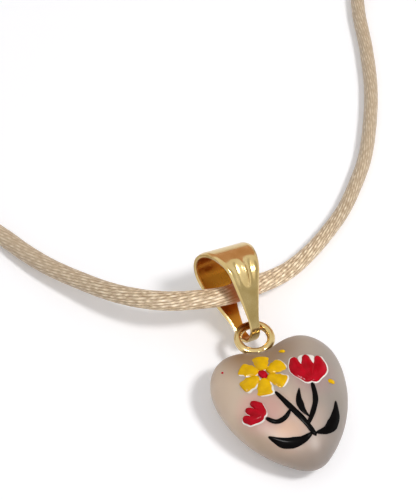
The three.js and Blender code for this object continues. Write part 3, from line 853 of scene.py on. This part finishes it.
black_strokes = [
    brush_stroke([(0.9, -8.5), (0.2, -6.2), (-0.8, -3.6), (-1.8, -0.7)], [0.75, 0.9, 0.85, 0.65]),
    brush_stroke([(0.4, -6.8), (1.8, -5.2), (2.9, -3.4), (3.4, -1.0)], [0.45, 0.8, 0.8, 0.65]),
    brush_stroke([(-0.8, -3.9), (-2.0, -4.8), (-3.3, -4.8), (-4.3, -3.7)], [0.45, 0.75, 0.7, 0.6]),
    brush_stroke([(0.7, -7.9), (-1.2, -8.4), (-3.3, -7.7), (-4.9, -6.0)], LEAF, blunt=POINTED),
    brush_stroke([(0.9, -8.1), (2.8, -7.9), (4.5, -6.4), (5.5, -4.2)], LEAF, blunt=POINTED),
    brush_stroke([(1.1, -5.9), (0.6, -4.6), (0.7, -3.0), (1.4, -1.4)], BUD, blunt=POINTED),
]
white_strokes = [
    *round_flower((-2.1, 2.3), reach=3.4, width=2.25, turn=0.3, lift=UNDERCOAT),
    *tulip((3.35, -1.1), way=(0.22, 1.0), size=4.85, lift=UNDERCOAT),
    brush_stroke([(3.4, -1.1), (3.9, 1.2), (4.4, 3.6)], [1.2, 3.8, 2.4], lift=UNDERCOAT),
    *tulip((-4.35, -3.7), way=(-0.72, 0.9), size=3.0, lift=UNDERCOAT),
]
yellow_strokes = [
    *round_flower((-2.2, 2.4), reach=3.35, width=2.15, turn=0.25),
    brush_stroke([(5.9, -1.7), (6.2, -1.1)], [0.9, 1.1], lift=0.26, blunt=ROUND),
    brush_stroke([(1.6, 5.1), (1.9, 5.6)], [0.9, 1.0], lift=0.26, blunt=ROUND),
]
red_strokes = [
    *tulip((3.4, -0.9), way=(0.2, 1.0), size=4.5),
    *tulip((-4.4, -3.5), way=(-0.75, 0.9), size=2.8),
    brush_stroke([(-2.7, 2.3), (-1.7, 2.6)], [1.6, 1.6], lift=0.46, blunt=ROUND),
    brush_stroke([(-6.75, 5.75), (-6.65, 5.35)], [0.35, 0.4], lift=0.08, blunt=ROUND),
]
enamel_black = join_pieces(black_strokes, "enamel_black")
enamel_white = join_pieces(white_strokes, "enamel_white")
enamel_yellow = join_pieces(yellow_strokes, "enamel_yellow")
enamel_red = join_pieces(red_strokes, "enamel_red")
print("strokes:", len(black_strokes + white_strokes + yellow_strokes + red_strokes))

# %% [markdown]
# ### Enamel
# Enamel paint is opaque colour in a clear glossy binder, so a thin coat lies over a body that is
# hardly shiny itself. The bristles leave faint streaks in its tone and its surface.

# %% Enamel materials


def enamel_material(name, deep, bright, roughness, shine):
    material, tree, shader = new_material(
        name, Roughness=roughness, IOR=1.5, Specular_IOR_Level=shine * 0.3, Coat_Weight=shine,
        Coat_Roughness=0.05,
    )
    place = node(tree, "ShaderNodeTexCoord").outputs["Object"]
    bristles = node(tree, "ShaderNodeTexNoise", Vector=place, Scale=900.0, Detail=3.0).outputs["Fac"]
    tone = node(tree, "ShaderNodeValToRGB", Fac=bristles, stops=[(0.35, deep), (0.65, bright)])
    tree.links.new(tone.outputs["Color"], shader.inputs["Base Color"])
    bump = node(tree, "ShaderNodeBump", Strength=0.15, Distance=0.06 * MM, Height=bristles)
    tree.links.new(bump.outputs["Normal"], shader.inputs["Normal"])
    return material


for piece, name, deep, bright, roughness, shine in (
    (enamel_black, "brushed black enamel", "#050303", "#0B0808", 0.35, 0.05),
    (enamel_white, "white enamel undercoat", "#E4DED6", "#F4F0EA", 0.35, 0.2),
    (enamel_yellow, "brushed yellow enamel", "#D8A600", "#EAB800", 0.22, 0.15),
    (enamel_red, "brushed red enamel", "#A60014", "#BC021E", 0.22, 0.12),
):
    place_in_mesh(piece)
    smooth_shading(piece, 60)
    piece.data.materials.append(enamel_material(name, deep, bright, roughness, shine))
    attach(piece, "heart")
    print(piece.name, len(piece.data.polygons), "faces")

# %% [markdown]
# ## Gilt brass
# The fittings are stamped brass with a thin bright gold plate. A metal's colour is its
# reflection colour, and polish makes it nearly a mirror. Handling leaves the plate a little
# duller in places, so the roughness and the tone drift slowly over the surface. Inside the bail
# the gilt is rougher, and its colour is painted browner and darker, as painted shade and warm
# reflection.

# %% Gilt materials


def gilt_material(name, deep, bright, roughness):
    material, tree, shader = new_material(name, Metallic=1.0, Roughness=roughness)
    place = node(tree, "ShaderNodeTexCoord").outputs["Object"]
    drift = node(tree, "ShaderNodeTexNoise", Vector=place, Scale=420.0, Detail=4.0).outputs["Fac"]
    tone = node(tree, "ShaderNodeValToRGB", Fac=drift, stops=[(0.3, deep), (0.7, bright)])
    tree.links.new(tone.outputs["Color"], shader.inputs["Base Color"])
    dull = node(
        tree, "ShaderNodeMapRange", Value=drift, From_Min=0.3, From_Max=0.75,
        To_Min=roughness * 0.7, To_Max=roughness * 1.5,
    )
    tree.links.new(dull.outputs["Result"], shader.inputs["Roughness"])
    scuffs = node(tree, "ShaderNodeTexNoise", Vector=place, Scale=2600.0, Detail=3.0).outputs["Fac"]
    bump = node(tree, "ShaderNodeBump", Strength=0.06, Distance=0.02 * MM, Height=scuffs)
    tree.links.new(bump.outputs["Normal"], shader.inputs["Normal"])
    print(name, "has", len(tree.nodes), "nodes")
    return material


gilt = gilt_material("polished gilt brass", "#C8AC70", "#D8C08A", 0.17)
# Painted shade: the bail's inner side is painted browner and darker, and it is also rougher.
gilt_with_painted_inner_shade = gilt_material("gilt inside with painted shade", "#AE6E1E", "#C4822C", 0.3)

# %% [markdown]
# ## Folded bail
# A bail begins as a flat strip, wide where its crest will be and narrow where it will hold the
# ring. It is folded round, so from the side it is a belt round two circles, a big one at the crest
# and a small one at the foot. The belt is worked out from the two radii and the bail's length.

# %% The bail's belt
BAIL_LENGTH = 12.9
CREST_RADIUS = 3.8
FOOT_RADIUS = 1.93

bail_reach = BAIL_LENGTH - FOOT_RADIUS - CREST_RADIUS
bail_tangent = math.acos((FOOT_RADIUS - CREST_RADIUS) / bail_reach)
bail_leg = math.sqrt(bail_reach ** 2 - (CREST_RADIUS - FOOT_RADIUS) ** 2)
foot_arc = FOOT_RADIUS * (2 * math.pi - 2 * bail_tangent)
crest_arc = CREST_RADIUS * 2 * bail_tangent
bail_round = foot_arc + crest_arc + 2 * bail_leg


def on_leg(t, angle):
    """A place on a straight leg, from the foot at t 0 to the crest at t 1."""
    radius = FOOT_RADIUS + (CREST_RADIUS - FOOT_RADIUS) * t
    return bail_reach * t + radius * math.cos(angle), radius * math.sin(angle), angle


def belt(share):
    """Place on the folded strip: along the bail, depth from its middle, and outward angle."""
    way = share * bail_round
    if way < foot_arc:
        angle = 2 * math.pi - bail_tangent - way / FOOT_RADIUS
        return FOOT_RADIUS * math.cos(angle), FOOT_RADIUS * math.sin(angle), angle
    way -= foot_arc
    if way < bail_leg:
        return on_leg(way / bail_leg, bail_tangent)
    way -= bail_leg
    if way < crest_arc:
        angle = bail_tangent - way / CREST_RADIUS
        return bail_reach + CREST_RADIUS * math.cos(angle), CREST_RADIUS * math.sin(angle), angle
    return on_leg(1 - min(1, (way - crest_arc) / bail_leg), -bail_tangent)


print("the bail's strip is", round(bail_round, 1), "mm long")

# %% [markdown]
# The strip widens from the foot to the crest. A rib between two flutes is stamped into its upper
# front, and its rims are chamfered. The stamping is counted in shares: across from the middle to
# the rim, and up from the foot to the crest.

# %% The bail's width and stamping
FOOT_WIDTH = 1.6
FRONT_WIDTH = 7.2
BACK_WIDTH = 7.4
FLARE_POWER = 1.12
FOOT_TO_CREST = BAIL_LENGTH - FOOT_RADIUS
STAMPING_ENDS = (0.68, 0.82)
RIB_HEIGHT = 0.3
RIB_SPREAD = 0.13
RIB_BEGINS = (0.43, 0.52)
FLUTE_DEPTH = 0.2
FLUTE_ACROSS = 0.42
FLUTE_SPREAD = 0.2
FLUTE_BEGINS = (0.38, 0.6)
RIM_DROP = 0.17
RIM_BEGINS = (0.86, 1.0)


def smoothstep(value, low, high):
    t = min(1, max(0, (value - low) / (high - low)))
    return t * t * (3 - 2 * t)


def strip_width(along, depth):
    share = min(1, max(0, along / FOOT_TO_CREST))
    to_front = smoothstep(depth, -CREST_RADIUS, CREST_RADIUS)
    full = BACK_WIDTH + (FRONT_WIDTH - BACK_WIDTH) * to_front
    return FOOT_WIDTH + (full - FOOT_WIDTH) * share ** FLARE_POWER


def bell(value, spread):
    return math.exp(-((value / spread) ** 2))


def stamping(across, along, depth):
    """How far the face stands out over the plain strip: rib, flutes and chamfered rims."""
    up = along / FOOT_TO_CREST
    front = (1 - smoothstep(up, *STAMPING_ENDS)) if depth > 0 else 0
    rib = RIB_HEIGHT * bell(across, RIB_SPREAD) * smoothstep(up, *RIB_BEGINS)
    flutes = FLUTE_DEPTH * bell(abs(across) - FLUTE_ACROSS, FLUTE_SPREAD) * smoothstep(up, *FLUTE_BEGINS)
    rim = RIM_DROP * smoothstep(abs(across), *RIM_BEGINS)
    return (rib - flutes) * front - rim


print("the crest is", round(strip_width(FOOT_TO_CREST, 0), 2), "mm wide")

# %% [markdown]
# A flat grid is folded: its length goes round the belt, and its relief is the stamping. The bail
# leans back and rolls a little, as the cord holds it. Solidify gives the strip its thickness, with
# the rougher, painted-shade gilt on its inner side, and a small bevel takes the sharpness off its edges.

# %% Fold the bail
BAIL_THICKNESS = 0.45
EDGE_ROUNDING = 0.07
EYE_TOP = 12.9
HEART_MID_HEIGHT = 4
BAIL_OFFSET = -0.2
BAIL_LEAN = math.radians(29.5)
BAIL_ROLL = math.radians(19)

bail_place = (
    Matrix.Translation((BAIL_OFFSET, EYE_TOP + row_shift, HEART_MID_HEIGHT))
    @ Matrix.Rotation(BAIL_LEAN, 4, "X")
    @ Matrix.Rotation(BAIL_ROLL, 4, "Y")
)
bpy.ops.mesh.primitive_grid_add(x_subdivisions=40, y_subdivisions=150, size=2)
bail = bpy.context.object
bail.name = "folded_bail"
for vertex in bail.data.vertices:
    across, share = vertex.co.x, (vertex.co.y + 1) / 2
    along, depth, angle = belt(share)
    out = BAIL_THICKNESS / 2 + stamping(across, along, depth)
    half = strip_width(along, depth) / 2
    folded = Vector((across * half, along + out * math.cos(angle), depth + out * math.sin(angle)))
    vertex.co = (bail_place @ folded) * MM
edit_all_of(bail)
bpy.ops.mesh.remove_doubles(threshold=0.01 * MM)
bpy.ops.mesh.normals_make_consistent(inside=False)
bpy.ops.object.mode_set(mode="OBJECT")
bail.data.materials.append(gilt)
bail.data.materials.append(gilt_with_painted_inner_shade)
finish_with(bail, "SOLIDIFY", thickness=BAIL_THICKNESS * MM, offset=-1, material_offset=1)
finish_with(
    bail, "BEVEL", width=EDGE_ROUNDING * MM, segments=3, limit_method="ANGLE",
    angle_limit=math.radians(50),
)
smooth_shading(bail, 50)
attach(bail, "bail")
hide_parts("bail")
print("bail faces:", len(bail.data.polygons))

# %% [markdown]
# ## Eye ring
# The ring is round wire, bent and soldered to a short peg that is glued into the heart. A torus
# and a cylinder are joined with a boolean, as solder joins them.

# %% Eye ring mesh
RING_RADIUS = 2.25
RING_WIRE = 0.55
PEG_RADIUS = 0.6
PEG_LOW = 3.35
PEG_HIGH = EYE_TOP - 2 * RING_RADIUS

bpy.ops.mesh.primitive_torus_add(
    location=Vector((0, EYE_TOP - RING_RADIUS + row_shift, HEART_MID_HEIGHT)) * MM,
    major_radius=RING_RADIUS * MM, minor_radius=RING_WIRE * MM, major_segments=112, minor_segments=32,
)
eye_ring = bpy.context.object
eye_ring.name = "gilt_eye_ring"
bpy.ops.mesh.primitive_cylinder_add(
    vertices=40, radius=PEG_RADIUS * MM, depth=(PEG_HIGH - PEG_LOW) * MM, rotation=(math.pi / 2, 0, 0),
    location=Vector((0, (PEG_LOW + PEG_HIGH) / 2 + row_shift, HEART_MID_HEIGHT)) * MM,
)
peg = bpy.context.object
place_in_mesh(peg)
place_in_mesh(eye_ring)
finish_with(eye_ring, "BOOLEAN", object=peg, operation="UNION", solver="EXACT")
bpy.data.objects.remove(peg)
smooth_shading(eye_ring, 50)
eye_ring.data.materials.clear()
eye_ring.data.materials.append(gilt)
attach(eye_ring, "heart")
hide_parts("eye_ring")
print("eye ring faces:", len(eye_ring.data.polygons))

# %% [markdown]
# ## End caps and jump rings
# These lie outside the photograph, and they follow a common necklace finding. Each end of the cord
# gets a cap with an eye, and a jump ring hangs in the eye. Both are placed along the line in which
# the cord's end runs, and the cord stops just short of the bottom of the cap's bore.

# %% Where the fittings go
END_GAP = 0.3
CAP_RADIUS = 1.6
CAP_LENGTH = 6
LINK_WIRE = 0.35
CAP_EYE = 1.2
JUMP_RADIUS = 1.9
CAP_EYE_X = CAP_LENGTH + CAP_EYE - LINK_WIRE
JUMP_LIFT = JUMP_RADIUS + LINK_WIRE - CAP_HEIGHT
JUMP_X = CAP_EYE_X + math.sqrt(JUMP_RADIUS ** 2 - JUMP_LIFT ** 2)


def fitting_frame(end, before):
    way = Vector(end - before)
    way.z = 0
    way.normalize()
    start = Vector(end) + way * (END_GAP - CAP_BORE)
    start.z = CAP_HEIGHT
    return Matrix.Translation(start * MM) @ Matrix.Rotation(math.atan2(way.y, way.x), 4, "Z")


left_frame = fitting_frame(route[0], route[2])
right_frame = fitting_frame(route[-1], route[-3])
print("a jump ring's middle is", round(JUMP_X, 2), "mm from its cap's mouth")

# %% [markdown]
# A cap is turned on a lathe, so its profile, with two grooves, is spun round. The profile runs from
# the bottom of the bore, out over the mouth and along the outside to the closed end. Its eye is
# bent wire, and a boolean joins the two as solder does.

# %% Turned cap
BORE_RADIUS = 1.3
GROOVE_RADIUS = 1.5


def turned_cap(name, frame_matrix):
    profile = [
        (0, CAP_BORE), (BORE_RADIUS, CAP_BORE), (BORE_RADIUS, 0.12), (1.42, 0.0), (1.52, 0.03),
        (CAP_RADIUS, 0.14), (CAP_RADIUS, 1.1), (GROOVE_RADIUS, 1.2), (GROOVE_RADIUS, 1.35),
        (CAP_RADIUS, 1.45), (CAP_RADIUS, 1.75), (GROOVE_RADIUS, 1.85), (GROOVE_RADIUS, 2.0),
        (CAP_RADIUS, 2.1), (CAP_RADIUS, 4.9), (1.54, 5.2), (1.3, 5.6), (0.95, 5.95), (0, CAP_LENGTH),
    ]
    outline = [(along * MM, radius * MM, 0) for radius, along in profile]
    mesh = bpy.data.meshes.new(name)
    mesh.from_pydata(outline, [(i, i + 1) for i in range(len(profile) - 1)], [])
    cap = bpy.data.objects.new(name, mesh)
    scene.collection.objects.link(cap)
    edit_all_of(cap)
    bpy.ops.mesh.spin(steps=56, angle=2 * math.pi, center=(0, 0, 0), axis=(1, 0, 0))
    bpy.ops.mesh.select_all(action="SELECT")
    bpy.ops.mesh.remove_doubles(threshold=0.005 * MM)
    bpy.ops.mesh.normals_make_consistent(inside=False)
    bpy.ops.object.mode_set(mode="OBJECT")
    bpy.ops.mesh.primitive_torus_add(
        location=(CAP_EYE_X * MM, 0, 0), major_radius=CAP_EYE * MM, minor_radius=LINK_WIRE * MM,
        major_segments=64, minor_segments=20,
    )
    eye = bpy.context.object
    place_in_mesh(eye)
    finish_with(cap, "BOOLEAN", object=eye, operation="UNION", solver="EXACT")
    bpy.data.objects.remove(eye)
    cap.matrix_world = frame_matrix
    place_in_mesh(cap)
    smooth_shading(cap, 40)
    cap.data.materials.clear()
    cap.data.materials.append(gilt)
    return cap


# %% [markdown]
# A jump ring is round wire, spun almost all the way: the hairline gap is where the real ring opens.
# It stands upright in the cap's eye, with its gap near the top.

# %% Jump ring and both ends
JUMP_GAP = math.radians(3)
GAP_TURN = math.radians(70)


def jump_ring(name, frame_matrix):
    bpy.ops.mesh.primitive_circle_add(
        vertices=20, radius=LINK_WIRE * MM, fill_type="NGON", rotation=(math.pi / 2, 0, 0)
    )
    ring = bpy.context.object
    ring.name = name
    place_in_mesh(ring)
    edit_all_of(ring)
    bpy.ops.transform.translate(value=(JUMP_RADIUS * MM, 0, 0))
    bpy.ops.mesh.spin(steps=72, angle=2 * math.pi - JUMP_GAP, center=(0, 0, 0), axis=(0, 0, 1))
    bpy.ops.mesh.select_all(action="SELECT")
    bpy.ops.mesh.remove_doubles(threshold=0.001 * MM)
    bpy.ops.mesh.normals_make_consistent(inside=False)
    bpy.ops.object.mode_set(mode="OBJECT")
    upright = Matrix.Rotation(math.pi / 2, 4, "X") @ Matrix.Rotation(GAP_TURN, 4, "Z")
    in_the_eye = Matrix.Translation((JUMP_X * MM, 0, JUMP_LIFT * MM))
    ring.matrix_world = frame_matrix @ in_the_eye @ upright
    place_in_mesh(ring)
    smooth_shading(ring, 40)
    ring.data.materials.append(gilt)
    return ring


for side, frame_matrix in (("left", left_frame), ("right", right_frame)):
    cap = turned_cap("turned_cap_" + side, frame_matrix)
    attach(cap, "neck_cord")
    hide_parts("cap_" + side)
    ring = jump_ring("open_jump_ring_" + side, frame_matrix)
    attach(ring, side + "_link")
    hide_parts("jump_ring_" + side)
    for piece in (cap, ring):
        print(piece.name, len(piece.data.polygons), "faces")

# %% [markdown]
# ## Clasp
# The clasp is cast and then tumbled with small stones, which rounds every edge: a fine voxel
# remesh and a smoothing of the CAD clasp do the same. The lever is then drawn in by a hair all
# round, so that it stays clear of the body beside which it turns.

# %% Clasp
for node_name, name, body, drawn_in in (
    ("clasp_body", "cast_clasp_body", "clasp", 0),
    ("clasp_lever", "cast_clasp_lever", "clasp_lever", 0.04),
    ("clasp_pin", "clasp_rivet", "clasp", 0),
):
    piece = merged_copy(node_name, name)
    finish_with(piece, "REMESH", mode="VOXEL", voxel_size=0.06 * MM)
    finish_with(piece, "SMOOTH", factor=0.5, iterations=4)
    if drawn_in:
        finish_with(piece, "DISPLACE", strength=-drawn_in * MM, mid_level=0)
    smooth_shading(piece, 70)
    piece.data.materials.append(gilt)
    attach(piece, body)
    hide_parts(node_name)
    print(name, len(piece.data.polygons), "faces")

# %% Cord facts
print("points in the cord's path:", len(route[::5]))
